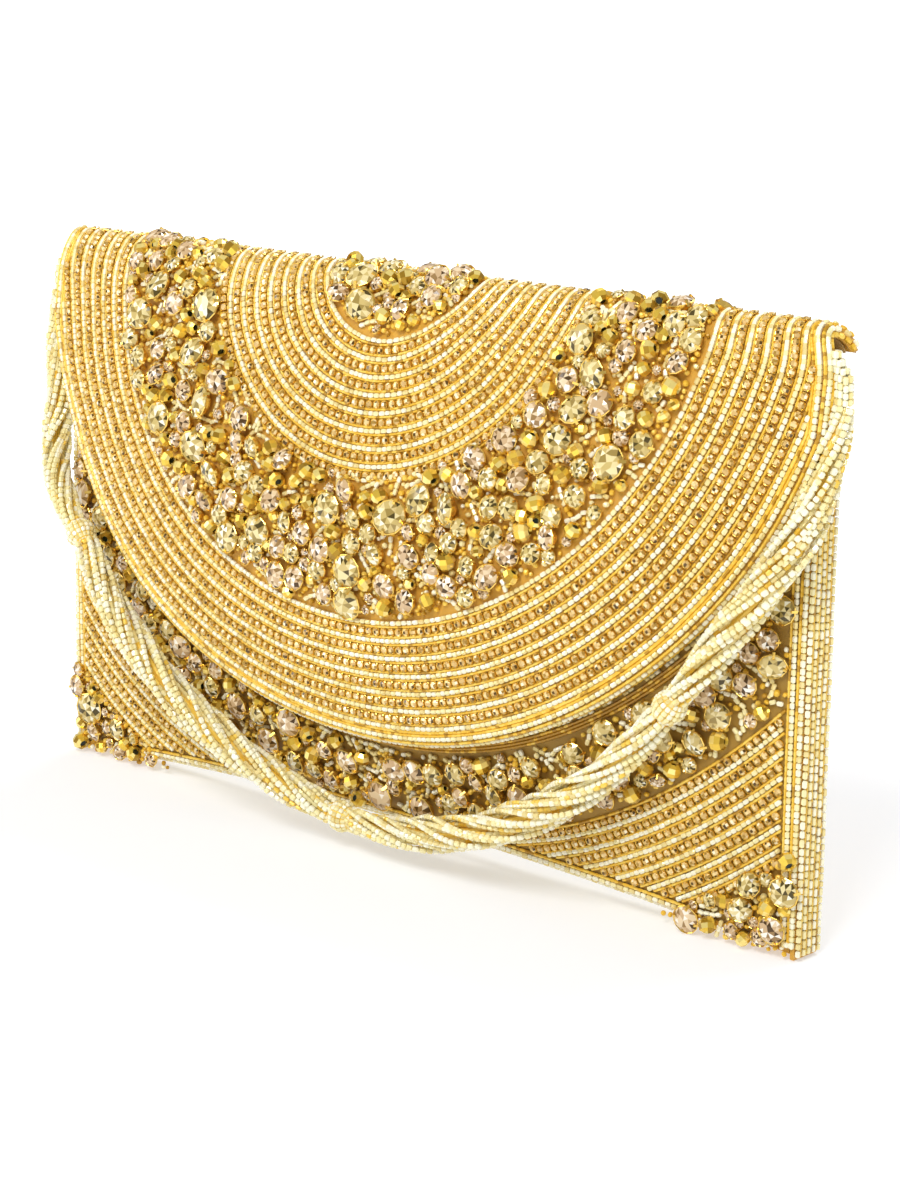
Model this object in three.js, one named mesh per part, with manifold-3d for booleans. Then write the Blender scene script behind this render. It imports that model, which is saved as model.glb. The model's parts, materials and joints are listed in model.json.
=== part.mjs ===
// A beaded clutch purse: a stuffed pouch with a half-round flap that folds over its top, and a
// rope strap of bead strands hung from its two top corners.
// Millimetres, +Z up, the front faces -Y, and the origin is on the ground under the middle.
import * as THREE from "three";
import * as BufferGeometryUtils from "three/addons/utils/BufferGeometryUtils.js";
import Module from "manifold-3d";

const wasm = await Module();
wasm.setup();

// ---------------------------------------------------------------- driving dimensions
const PANEL_HALF = 131; // half width of the front and back panels
const PUFF_HALF = 133; // half width over which the panels are stuffed out
const FLAP_HALF = 136; // half width of the flap, which overhangs the sides
const FLAP_R = 141; // radius of the half-round flap, measured on its cloth
const MOUTH_Z = 140; // top edge of the front panel
const HINGE_Z = 149; // height of the crease where the flap leaves the back panel
const HINGE_Y = 10; // the crease turns about this line
const FOLD_Z = 136; // the flap is straight below this height and rounds back above it
const RIDGE_Y = -1; // the ridge of the fold
const RIDGE_Z = 153.2; // underside of the ridge
const FOLD_RUN = 31.5; // cloth from the ridge down to FOLD_Z
const BACK_RUN = 7; // cloth from the ridge back to the crease
const DROP = 0.92; // height lost for each millimetre of cloth down the front
const RING_Z = FOLD_Z + FOLD_RUN * DROP; // height of the rings' centre, above the ridge
const FOOT_Z = 1.5; // lowest point of the base seam, at the corners
const ARCH = 7.3; // the base seam rises by this much between the corners
const SEAM_DEPTH = 4.5; // half the depth of the pouch at its side seams, at the ground
const SEAM_TAPER = 1; // and how much of it is lost at PUFF_Z
const PUFF_Z = 160; // the stuffing dies out at this height
const FRONT_PUFF = 18; // how far the front is stuffed out
const BACK_PUFF = 7; // how far the back is stuffed out
const FRONT_PULL = 1; // the front is drawn back by this at its top corners
const BACK_FLARE = 2.5; // and the back stands out by this at its own
const CORNER_CUT = 3; // the flap is narrower by this on each side where it folds over the ridge
const GAP = 0.3; // air left between neighbouring layers
const MIDDLE_Y = 9.6; // how far the pouch's seams stand behind the middle of the whole, flap included

// Distances outward from the face of the front or back shell.
const SHELL = [-0.5, 0];
const BOARD = [-1.6, -0.8];
const WASHER = [-2.4, -1.9];
const LINING = [-3, -2.7];
const BEADS = [GAP, 2.1];
const CRYSTALS = [GAP, 5];
// Distances outward from the underside of the flap.
const FLAP_LINING = [0, 0.3];
const FLAP_WASHER = [0.6, 1];
const FLAP_BOARD = [1.2, 1.8];
const FLAP_SHELL = [2.2, 2.6];
const FLAP_BEADS = [3.3, 4.8];
const FLAP_CRYSTALS = [3.3, 7.4];
// Radii of the rings of beads and crystals, all about one centre.
const CENTRE_R = 26;
const BAND_IN = 65;
const BAND_OUT = 104;
const FRONT_EDGE_R = [124, 146];
const FRONT_BAND_R = [146.3, 168];
const FRONT_ROWS_R = [168.3, 198.2];
const CORNER_R = 198.5;

const COLUMNS = 16; // grid columns across a panel
const LOW_ROWS = 8; // grid rows up a panel to LOW_TOP
const HIGH_ROWS = 4; // and above it, where the top corners are shaped
const LOW_TOP = 117;

// ---------------------------------------------------------------- the stuffed shape
const clamp01 = (t) => Math.min(Math.max(t, 0), 1);
const smooth = (t) => clamp01(t) ** 2 * (3 - 2 * clamp01(t));
const puff = (x, z) =>
  (1 - Math.min(Math.abs(x) / PUFF_HALF, 1) ** 2.2) * Math.sin(Math.PI * clamp01(z / PUFF_Z));
const seamDepth = (z) => SEAM_DEPTH - SEAM_TAPER * clamp01(z / PUFF_Z);
const topCorner = (x, z) => smooth((Math.abs(x) - 100) / 31) * smooth((z - LOW_TOP) / 24);
const frontDepth = (x, z) => seamDepth(z) + FRONT_PUFF * puff(x, z) - FRONT_PULL * topCorner(x, z);
const backDepth = (x, z) => seamDepth(z) + BACK_PUFF * puff(x, z) + BACK_FLARE * topCorner(x, z);
const seamZ = (x) => FOOT_Z + ARCH * (1 - (x / PUFF_HALF) ** 2);
const frontPoint = (x, z, out) => new THREE.Vector3(x, -(frontDepth(x, z) + out), z);
const backPoint = (x, z, out) => new THREE.Vector3(x, backDepth(x, z) + out, z);

// The flap stands off the front panel, more so near its edge, where the panel carries beads.
function standOff(x, z) {
  const r = Math.hypot(x, (RING_Z - z) / DROP);
  return 1.2 + 2.4 * smooth((r - 60) / 60) * smooth((150 - z) / 40);
}

// How much of the flap's half width is lost where it runs over the ridge.
function cornerCut(run) {
  return CORNER_CUT * (run < 0 ? smooth(1 + run / BACK_RUN) : smooth(1 - run / 24));
}

// A point of the flap: run is the cloth from the ridge, down the front, or less than 0 behind it.
function flapPoint(across, run, out) {
  const x = across * (1 - cornerCut(run) / FLAP_HALF);
  if (run >= FOLD_RUN) {
    const z = FOLD_Z - (run - FOLD_RUN) * DROP;
    return frontPoint(x, z, standOff(x, z) + out);
  }
  if (run >= 0) {
    const turn = (1 - run / FOLD_RUN) * (Math.PI / 2);
    const rise = RIDGE_Z - FOLD_Z;
    const z = FOLD_Z + rise * Math.sin(turn);
    const depth = frontDepth(x, z) + standOff(x, z) + RIDGE_Y;
    const normal = new THREE.Vector2(-rise * Math.cos(turn), depth * Math.sin(turn)).normalize();
    return new THREE.Vector3(x, RIDGE_Y - depth * Math.cos(turn) + normal.x * out, z + normal.y * out);
  }
  const turn = (-run / BACK_RUN) * (Math.PI / 2);
  const depth = backDepth(x, HINGE_Z) - FLAP_SHELL[1] - RIDGE_Y;
  const rise = RIDGE_Z - HINGE_Z;
  const normal = new THREE.Vector2(rise * Math.sin(turn), depth * Math.cos(turn)).normalize();
  return new THREE.Vector3(
    x,
    RIDGE_Y + depth * Math.sin(turn) + normal.x * out,
    HINGE_Z + rise * Math.cos(turn) + normal.y * out,
  );
}

// ---------------------------------------------------------------- solids
function signedVolume(positions, index) {
  const corner = [new THREE.Vector3(), new THREE.Vector3(), new THREE.Vector3()];
  let volume = 0;
  for (let i = 0; i < index.length; i += 3) {
    corner.forEach((c, k) => c.fromArray(positions, index[i + k] * 3));
    volume += corner[0].dot(corner[1].clone().cross(corner[2])) / 6;
  }
  return volume;
}

// A closed slab between two sheets of the same grid. sheet(u, v, side) gives a point, u and v go
// from 0 to 1, and side is 0 on the inner sheet and 1 on the outer one.
function slab(columns, rows, sheet) {
  const positions = [];
  const index = [];
  for (const side of [0, 1]) {
    for (let j = 0; j <= rows; j += 1) {
      for (let i = 0; i <= columns; i += 1) {
        positions.push(...sheet(i / columns, j / rows, side).toArray());
      }
    }
  }
  const at = (i, j, side) => (side * (rows + 1) + j) * (columns + 1) + i;
  const quad = (a, b, c, d) => index.push(a, b, c, a, c, d);
  for (let j = 0; j < rows; j += 1) {
    for (let i = 0; i < columns; i += 1) {
      quad(at(i, j, 1), at(i + 1, j, 1), at(i + 1, j + 1, 1), at(i, j + 1, 1));
      quad(at(i, j, 0), at(i, j + 1, 0), at(i + 1, j + 1, 0), at(i + 1, j, 0));
    }
  }
  for (let i = 0; i < columns; i += 1) {
    quad(at(i, 0, 0), at(i + 1, 0, 0), at(i + 1, 0, 1), at(i, 0, 1));
    quad(at(i + 1, rows, 0), at(i, rows, 0), at(i, rows, 1), at(i + 1, rows, 1));
  }
  for (let j = 0; j < rows; j += 1) {
    quad(at(0, j + 1, 0), at(0, j, 0), at(0, j, 1), at(0, j + 1, 1));
    quad(at(columns, j, 0), at(columns, j + 1, 0), at(columns, j + 1, 1), at(columns, j, 1));
  }
  if (signedVolume(positions, index) < 0) {
    index.reverse();
  }
  const geometry = new THREE.BufferGeometry();
  geometry.setAttribute("position", new THREE.Float32BufferAttribute(positions, 3));
  geometry.setIndex(index);
  return geometry;
}

function toManifold(geometry) {
  const bare = geometry.clone();
  bare.deleteAttribute("normal");
  bare.deleteAttribute("uv");
  const merged = BufferGeometryUtils.mergeVertices(bare, 1e-4);
  return new wasm.Manifold(
    new wasm.Mesh({
      numProp: 3,
      vertProperties: new Float32Array(merged.attributes.position.array),
      triVerts: new Uint32Array(merged.index.array),
    }),
  );
}

function toGeometry(manifold) {
  const mesh = manifold.getMesh();
  const geometry = new THREE.BufferGeometry();
  geometry.setAttribute("position", new THREE.Float32BufferAttribute(mesh.vertProperties, 3));
  geometry.setIndex(Array.from(mesh.triVerts));
  return geometry;
}

// A prism through the whole purse, front to back, on an outline drawn in X and Z.
function prism(shape) {
  const geometry = new THREE.ExtrudeGeometry(shape, { depth: 100, bevelEnabled: false, curveSegments: 36 });
  geometry.rotateX(Math.PI / 2);
  geometry.translate(0, 50, 0);
  return toManifold(geometry);
}

// A point on the ring of radius r about the rings' centre, seen from the front.
const ringX = (r, turn) => r * Math.cos(turn);
const ringZ = (r, turn) => RING_Z + r * DROP * Math.sin(turn);

// The outline between two ring radii, for turns between the two given angles.
function ringShape(inner, outer, from = Math.PI, to = 2 * Math.PI) {
  const steps = 48;
  const shape = new THREE.Shape();
  for (let i = 0; i <= steps; i += 1) {
    const turn = from + ((to - from) * i) / steps;
    const draw = i === 0 ? "moveTo" : "lineTo";
    shape[draw](ringX(outer, turn), ringZ(outer, turn));
  }
  for (let i = steps; i >= 0; i -= 1) {
    const turn = from + ((to - from) * i) / steps;
    shape.lineTo(ringX(inner, turn), ringZ(inner, turn));
  }
  return shape;
}

// Steps from one value to another by way of those between, each taken in a number of rows.
function stepped(values, rows, row) {
  let left = row;
  let leg = 0;
  while (leg < rows.length - 1 && left > rows[leg]) {
    left -= rows[leg];
    leg += 1;
  }
  return values[leg] + ((values[leg + 1] - values[leg]) * left) / rows[leg];
}

// ---------------------------------------------------------------- the pouch
// A layer of the front or back panel, from just above the base seam up to top.
function panel(point, layer, top, half = PANEL_HALF, lift = 1.5) {
  const rows = LOW_ROWS + HIGH_ROWS;
  return slab(COLUMNS, rows, (u, v, side) => {
    const x = (2 * u - 1) * half;
    const levels = [seamZ(x) + lift, Math.min(LOW_TOP, top - HIGH_ROWS), top];
    return point(x, stepped(levels, [LOW_ROWS, HIGH_ROWS], Math.round(v * rows)), layer[side]);
  });
}

// Towards the sides a layer that carries crystals thins to little more than half.
const thinning = (x) => 1 - 0.45 * smooth((Math.abs(x) - 110) / 21);
const thinnedPoint = (x, z, out) => frontPoint(x, z, out > 1 ? out * thinning(x) : out);

function frontRing(point, layer, [inner, outer], top, keepSide = 0) {
  let solid = toManifold(panel(point, layer, top, PANEL_HALF, 1.8));
  solid = solid.intersect(prism(ringShape(inner, outer)));
  if (keepSide !== 0) {
    const half = new THREE.BoxGeometry(PANEL_HALF + 9, 100, 400);
    half.translate(keepSide * (PANEL_HALF + 9) * 0.5, 0, 0);
    solid = solid.intersect(toManifold(half));
  }
  return toGeometry(solid);
}

// The crystals sewn round a bottom corner: over the front, under the seam and up the back.
function cornerCrystals(side) {
  const foot = [104, PANEL_HALF];
  const onFront = slab(6, 4, (u, v, s) => {
    const x = 97 + u * (PANEL_HALF - 97);
    const low = (seamZ(x) - GAP) * (1 - smooth((x - 97) / 7));
    const high = RING_Z - DROP * Math.sqrt(CORNER_R ** 2 - x ** 2);
    return frontPoint(x, low + v * (high - low), s ? 8.5 - 3.5 * v : 0.5);
  });
  const onBack = slab(4, 3, (u, v, s) => {
    const x = foot[0] + u * (foot[1] - foot[0]);
    return backPoint(x, v * (6 + 12 * u), s ? 4 : 0.5);
  });
  const under = slab(4, 1, (u, v, s) => {
    const x = foot[0] + u * (foot[1] - foot[0]);
    const z = s * (seamZ(x) - GAP);
    return new THREE.Vector3(x, -(seamDepth(0) + 3) + v * 2 * (seamDepth(0) + 2.4), z);
  });
  const whole = toGeometry(toManifold(onFront).add(toManifold(onBack)).add(toManifold(under)));
  if (side > 0) {
    return whole;
  }
  whole.scale(-1, 1, 1);
  whole.index.array.reverse();
  return whole;
}

function baseStrip() {
  return slab(COLUMNS, 1, (u, v, side) => {
    const x = (2 * u - 1) * PANEL_HALF;
    const z = seamZ(x);
    return new THREE.Vector3(x, -frontDepth(x, z) + v * (frontDepth(x, z) + backDepth(x, z)), z + side * 1.2);
  });
}

// A strip up one side, from x0 to x1, as deep as the pouch is there.
function sideStrip(side, x0, x1, bottom, top) {
  return slab(1, LOW_ROWS + HIGH_ROWS, (u, v, s) => {
    const z = bottom + v * (top - bottom);
    const front = -frontDepth(PANEL_HALF, z);
    return new THREE.Vector3(side * (s ? x1 : x0), front + u * (backDepth(PANEL_HALF, z) - front), z);
  });
}

// An open-topped slip pocket that stands on the back lining.
function slipPocket() {
  const [half, low, high, face, back, wall] = [55, 45, 115, -0.6, 5.2, 0.8];
  const outer = new THREE.BoxGeometry(2 * half, back - face, high - low);
  outer.translate(0, (face + back) / 2, (low + high) / 2);
  const inner = new THREE.BoxGeometry(2 * (half - wall), back - face, high - low);
  inner.translate(0, (face + back) / 2 + wall, (low + high) / 2 + wall);
  return toGeometry(toManifold(outer).subtract(toManifold(inner)));
}

// A round plate of the magnetic snap, laid to the curve of the layer that it is fixed to.
function snapPlate(radius, point, layer) {
  const snapRun = 112;
  const z0 = FOLD_Z - (snapRun - FOLD_RUN) * DROP;
  const geometry = new THREE.CylinderGeometry(radius, radius, 2, 24);
  const position = geometry.attributes.position;
  for (let i = 0; i < position.count; i += 1) {
    const side = position.getY(i) < 0 ? 1 : 0;
    const placed = point(position.getX(i), z0 + position.getZ(i), layer[side]);
    position.setXYZ(i, placed.x, placed.y, placed.z);
  }
  return geometry;
}

// ---------------------------------------------------------------- the flap
// A layer of the flap: a half-round front that runs over the ridge to the crease behind.
function flapLayer(layer, radius, half) {
  const rows = [3, 4, 9];
  return slab(COLUMNS, 16, (u, v, side) => {
    const x = (2 * u - 1) * half;
    const edge = Math.sqrt(radius ** 2 - x ** 2);
    const bend = Math.min(FOLD_RUN, edge - 4);
    const run = stepped([-BACK_RUN, 0, bend, edge], rows, Math.round(v * 16));
    return flapPoint(x, run, layer[side]);
  });
}

function flapBoard() {
  return slab(COLUMNS, LOW_ROWS + HIGH_ROWS, (u, v, side) => {
    const x = (2 * u - 1) * 132;
    const edge = Math.sqrt(138.5 ** 2 - x ** 2);
    const from = FOLD_RUN + 2;
    return flapPoint(x, from + v * (edge - from), FLAP_BOARD[side]);
  });
}

// A ring of the flap, from behind the ridge on one side round to behind it on the other. Its
// columns crowd together at both ends, where the flap is folded, and it stops at the flap's sides.
function flapRing(layer, inner, outer, columns) {
  const behind = -4;
  return slab(columns, 4, (u, v, side) => {
    const level = (1 - Math.cos(Math.PI * u)) / 2;
    const reach = inner + v * (outer - inner);
    const start = Math.asin(behind / reach);
    const turn = start + level * (Math.PI - 2 * start);
    const limit = FLAP_HALF / Math.max(Math.abs(Math.cos(turn)), 1e-6);
    const r = inner + v * (Math.min(outer, limit) - inner);
    return flapPoint(r * Math.cos(turn), r * Math.sin(turn), layer[side]);
  });
}

function flapCentre() {
  return slab(8, 7, (u, v, side) => {
    const x = (2 * u - 1) * (CENTRE_R - 1.5);
    const edge = Math.sqrt(CENTRE_R ** 2 - x ** 2);
    return flapPoint(x, stepped([-4, 0, edge], [2, 5], Math.round(v * 7)), FLAP_CRYSTALS[side]);
  });
}

// ---------------------------------------------------------------- the strap
const STRAP_R = 4.4; // radius of the rope of strands
const STRAP_END = 0.66; // the strands draw together to this much of it at the rope's ends
const STRAP_STEPS = 14; // steps along each stretch of the rope
const BALL_R = 4.3;
const CAP_X = 139.2; // the caps hang this far out
const ANCHOR_Y = -3;
const ANCHOR_Z = 143.3; // the strap turns about the line through its two caps
// The way the rope hangs, from its left end to its right one: down beside the flap, forward
// round the side and across the front below the flap.
const STRAP_ROUTE = [
  [-139.4, -3, 138], [-141, -2.8, 131], [-142.2, -3, 122.5], [-141.2, -3.2, 113],
  [-139.4, -4.4, 104.4], [-138.6, -6.4, 97.4], [-136.8, -8.8, 91.6], [-133.4, -11.4, 86.8],
  [-128.6, -14.4, 82.4], [-121.8, -17.2, 77], [-113, -19.8, 71.4], [-102.4, -22.7, 62],
  [-93, -23.7, 51.6], [-82, -23.9, 41.6], [-69.5, -23.8, 33], [-55, -22.9, 25],
  [-39, -21.6, 18], [-23, -20.2, 12.8], [-7.5, -19, 9.4], [8, -19, 9.2],
  [22, -19.7, 11.2], [38, -20.7, 15.4], [54, -22, 21.6], [69, -23.1, 29.4],
  [82.5, -23.6, 38.4], [94.6, -23.3, 49.6], [105.8, -22.4, 62.6], [113, -21.6, 72.2],
  [119.6, -20.4, 81.2], [125.6, -18.5, 89.6], [130.4, -16.3, 97.6], [134.2, -13.8, 104.8],
  [136.6, -11, 112], [137.9, -8.6, 119], [138.4, -6.6, 125], [139, -4.6, 131],
  [139.4, -3, 138],
];
const BALL_STOPS = [10, 18, 26]; // points of the route that carry a ball bead

function routeCurve() {
  return new THREE.CatmullRomCurve3(STRAP_ROUTE.map((p) => new THREE.Vector3(...p)), false, "centripetal");
}

// The part of the rope between two points of the route, short of any ball bead at its ends.
function strapRun(first, last) {
  const whole = routeCurve();
  const count = STRAP_ROUTE.length - 1;
  const clear = BALL_R + GAP;
  const from = first / count;
  const to = last / count;
  const atBall = (stop) => BALL_STOPS.includes(stop);
  const spans = 200;
  const points = [];
  for (let i = 0; i <= spans; i += 1) {
    const point = whole.getPoint(from + ((to - from) * i) / spans);
    const farFrom = (stop) => !atBall(stop) || point.distanceTo(whole.getPoint(stop / count)) >= clear;
    if (farFrom(first) && farFrom(last)) {
      points.push(point);
    }
  }
  const path = new THREE.CatmullRomCurve3(points.filter((_, i) => i % 10 === 0 || i === points.length - 1));
  const ring = new THREE.Shape();
  const sides = 8;
  for (let i = 0; i < sides; i += 1) {
    const turn = (2 * Math.PI * i) / sides;
    const draw = i === 0 ? "moveTo" : "lineTo";
    ring[draw](STRAP_R * Math.cos(turn), STRAP_R * Math.sin(turn));
  }
  const geometry = new THREE.ExtrudeGeometry(ring, { steps: STRAP_STEPS, extrudePath: path, bevelEnabled: false });
  const centres = path.getSpacedPoints(STRAP_STEPS);
  const position = geometry.attributes.position;
  for (let i = 0; i < position.count; i += 1) {
    const vertex = new THREE.Vector3().fromBufferAttribute(position, i);
    const nearer = (a, b) => (a.distanceTo(vertex) < b.distanceTo(vertex) ? a : b);
    const centre = centres.reduce(nearer);
    const width = STRAP_END + (1 - STRAP_END) * smooth((FOLD_Z - centre.z) / 40);
    vertex.sub(centre).multiplyScalar(width).add(centre);
    position.setXYZ(i, vertex.x, vertex.y, vertex.z);
  }
  return geometry;
}

function ballBead() {
  return new THREE.SphereGeometry(BALL_R, 12, 8);
}

// The bell-shaped end cap that gathers the strands.
function strapCap() {
  const profile = [[0, -4.3], [2.3, -4.3], [2.5, -3.4], [2.2, 0], [1.7, 3.2], [1.1, 4.3], [0, 4.3]];
  const geometry = new THREE.LatheGeometry(profile.map(([r, z]) => new THREE.Vector2(r, z)), 14);
  geometry.rotateX(Math.PI / 2);
  return geometry;
}

// The stitched tab on the side seam that the strap's end is fixed to.
function strapTab(side) {
  const shape = new THREE.Shape();
  const [halfWide, low, high] = [2.2, MOUTH_Z + GAP, 147];
  shape.moveTo(-halfWide, low);
  shape.lineTo(halfWide, low);
  shape.lineTo(halfWide, high - halfWide);
  shape.absarc(0, high - halfWide, halfWide, 0, Math.PI, false);
  shape.closePath();
  const geometry = new THREE.ExtrudeGeometry(shape, { depth: 3.4, bevelEnabled: false, curveSegments: 10 });
  geometry.rotateX(Math.PI / 2);
  geometry.rotateZ(Math.PI / 2);
  geometry.translate(side > 0 ? 132.9 : -136.3, -0.4, 0);
  return geometry;
}

// ---------------------------------------------------------------- the parts
const satin = { color: 0xd9a83a, roughness: 0.55, metalness: 0.1 };
const liningCloth = { color: 0xb98f4a, roughness: 0.6, metalness: 0 };
const stiffener = { color: 0xcfc4a8, roughness: 0.9, metalness: 0 };
const beadWork = { color: 0xe9c25a, roughness: 0.25, metalness: 0.35 };
const crystalWork = { color: 0xd8b27a, roughness: 0.12, metalness: 0.3 };
const paleBeads = { color: 0xf6ecc4, roughness: 0.25, metalness: 0.1 };
const goldMetal = { color: 0xd9ab45, roughness: 0.3, metalness: 1 };

const purse = new THREE.Group();
purse.position.y = MIDDLE_Y;
function add(name, geometry, look, parent = purse) {
  const mesh = new THREE.Mesh(geometry, new THREE.MeshStandardMaterial(look));
  mesh.name = name;
  parent.add(mesh);
  return mesh;
}
const sides = [["left", -1], ["right", 1]];

add("front_shell", panel(frontPoint, SHELL, MOUTH_Z), satin);
add("front_board", panel(frontPoint, BOARD, MOUTH_Z), stiffener);
add("front_lining", panel(frontPoint, LINING, MOUTH_Z), liningCloth);
add("back_shell", panel(backPoint, SHELL, HINGE_Z - GAP), satin);
add("back_board", panel(backPoint, BOARD, HINGE_Z - GAP), stiffener);
add("back_lining", panel(backPoint, LINING, HINGE_Z - GAP), liningCloth);
add("base_strip", baseStrip(), satin);
add("slip_pocket", slipPocket(), liningCloth);
add("back_rows", panel(backPoint, BEADS, HINGE_Z - GAP, PANEL_HALF, 19), beadWork);
add("front_edge_rows", frontRing(frontPoint, BEADS, FRONT_EDGE_R, 118), beadWork);
add("front_crystal_band", frontRing(thinnedPoint, CRYSTALS, FRONT_BAND_R, 118), crystalWork);
for (const [name, side] of sides) {
  add(`front_rows_${name}`, frontRing(frontPoint, BEADS, FRONT_ROWS_R, 90, side), beadWork);
  add(`corner_crystals_${name}`, cornerCrystals(side), crystalWork);
  add(`gusset_${name}`, sideStrip(side, 131.3, 132.5, GAP, MOUTH_Z), satin);
  add(`gusset_beads_${name}`, sideStrip(side, 132.8, 134.3, GAP, MOUTH_Z), paleBeads);
  add(`strap_tab_${name}`, strapTab(side), satin);
}
add("snap_socket", snapPlate(7, frontPoint, [0.3, 1.6]), goldMetal);
add("snap_socket_washer", snapPlate(8, frontPoint, WASHER), goldMetal);

const flap = new THREE.Group();
purse.add(flap);
const onFlap = (x, z, out) => frontPoint(x, z, standOff(x, z) + out);
add("flap_lining", flapLayer(FLAP_LINING, 139.5, 134.4), liningCloth, flap);
add("flap_board", flapBoard(), stiffener, flap);
add("flap_shell", flapLayer(FLAP_SHELL, 140.7, 135.8), satin, flap);
add("flap_centre_crystals", flapCentre(), crystalWork, flap);
add("flap_inner_rows", flapRing(FLAP_BEADS, CENTRE_R + GAP, BAND_IN - GAP, 28), beadWork, flap);
add("flap_crystal_band", flapRing(FLAP_CRYSTALS, BAND_IN, BAND_OUT, 32), crystalWork, flap);
add("flap_outer_rows", flapRing(FLAP_BEADS, BAND_OUT + GAP, FLAP_R, 48), beadWork, flap);
add("snap_stud", snapPlate(6, onFlap, [-1.6, -0.3]), goldMetal, flap);
add("snap_stud_washer", snapPlate(7, onFlap, FLAP_WASHER), goldMetal, flap);

const strap = new THREE.Group();
purse.add(strap);
const stops = [0, ...BALL_STOPS, STRAP_ROUTE.length - 1];
for (let i = 0; i + 1 < stops.length; i += 1) {
  add(`strap_run_${i + 1}`, strapRun(stops[i], stops[i + 1]), paleBeads, strap);
}
BALL_STOPS.forEach((stop, i) => {
  add(`strap_ball_${i + 1}`, ballBead(), paleBeads, strap).position.set(...STRAP_ROUTE[stop]);
});
for (const [name, side] of sides) {
  add(`strap_cap_${name}`, strapCap(), goldMetal, strap).position.set(side * CAP_X, ANCHOR_Y, ANCHOR_Z);
}

export default purse;
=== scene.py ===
"""A beaded clutch purse: a stuffed satin pouch, a half-round crystal flap and a rope strap."""
import json
import math

import bpy
import numpy as np
from mathutils import Matrix, Vector


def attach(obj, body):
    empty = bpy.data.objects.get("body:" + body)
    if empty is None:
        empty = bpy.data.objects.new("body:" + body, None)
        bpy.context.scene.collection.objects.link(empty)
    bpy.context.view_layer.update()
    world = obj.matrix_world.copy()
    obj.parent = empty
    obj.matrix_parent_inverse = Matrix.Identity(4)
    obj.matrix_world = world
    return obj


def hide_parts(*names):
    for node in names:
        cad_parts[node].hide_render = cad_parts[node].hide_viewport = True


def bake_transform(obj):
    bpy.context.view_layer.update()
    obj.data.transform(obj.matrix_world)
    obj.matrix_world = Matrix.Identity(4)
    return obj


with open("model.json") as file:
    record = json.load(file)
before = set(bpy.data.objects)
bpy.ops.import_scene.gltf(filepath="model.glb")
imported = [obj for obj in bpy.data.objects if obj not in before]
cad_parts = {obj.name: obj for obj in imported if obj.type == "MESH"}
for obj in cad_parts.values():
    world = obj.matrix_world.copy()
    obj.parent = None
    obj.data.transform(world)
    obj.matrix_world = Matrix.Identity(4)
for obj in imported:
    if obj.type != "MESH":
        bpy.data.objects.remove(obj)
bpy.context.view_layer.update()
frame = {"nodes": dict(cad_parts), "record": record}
rng = np.random.default_rng(11)

# Sizes are in millimetres until a mesh is made. They are those of the CAD part.
PUFF_HALF, PANEL_HALF, FLAP_HALF, FLAP_R = 133.0, 131.0, 136.0, 141.0
HINGE_Z, FOLD_Z, RIDGE_Y, RIDGE_Z = 149.0, 136.0, -1.0, 153.2
FOLD_RUN, BACK_RUN, DROP = 31.5, 7.0, 0.92
RING_Z = FOLD_Z + FOLD_RUN * DROP
FOOT_Z, ARCH, SEAM_DEPTH, SEAM_TAPER, PUFF_Z = 1.5, 7.3, 4.5, 1.0, 160.0
FRONT_PUFF, BACK_PUFF, MIDDLE_Y = 18.0, 7.0, 9.6
FRONT_PULL, BACK_FLARE, CORNER_CUT = 1.0, 2.5, 3.0
FLAP_TOP = 2.6  # the flap's cloth, outward from its underside
CENTRE_R, BAND_IN, BAND_OUT = 26.0, 65.0, 104.0
PERIOD = 5.15  # from one white row to the next
SIDE_X = 132.6


# ---- the stuffed shape
def smooth(t):
    t = np.clip(t, 0, 1)
    return t * t * (3 - 2 * t)


def puff(x, z):
    across = 1 - np.minimum(np.abs(x) / PUFF_HALF, 1) ** 2.2
    return across * np.sin(np.pi * np.clip(z / PUFF_Z, 0, 1))


def seam_depth(z):
    return SEAM_DEPTH - SEAM_TAPER * np.clip(z / PUFF_Z, 0, 1)


def top_corner(x, z):
    return smooth((np.abs(x) - 100) / 31) * smooth((z - 117) / 24)


def front_depth(x, z):
    return seam_depth(z) + FRONT_PUFF * puff(x, z) - FRONT_PULL * top_corner(x, z)


def back_depth(x, z):
    return seam_depth(z) + BACK_PUFF * puff(x, z) + BACK_FLARE * top_corner(x, z)


def seam_z(x):
    return FOOT_Z + ARCH * (1 - (x / PUFF_HALF) ** 2)


def stack(x, y, z):
    return np.stack(np.broadcast_arrays(x, y, z), -1).astype(float)


def front_z(b):
    return RING_Z - b * DROP


def front_b(z):
    return (RING_Z - z) / DROP


def back_z(b):
    return HINGE_Z + BACK_RUN - b


# Each cloth takes pattern coordinates: a across, b down from the centre of all the rings, and o
# outward from the cloth's face. Both are measured along the cloth.
def front_cloth(a, b, o):
    z = front_z(b)
    return stack(a, -(front_depth(a, z) + o), z)


def back_cloth(a, b, o):
    z = back_z(b)
    return stack(a, back_depth(a, z) + o, z)


def stand_off(x, z):
    r = np.hypot(x, front_b(z))
    return 1.2 + 2.4 * smooth((r - 60) / 60) * smooth((150 - z) / 40)


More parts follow.
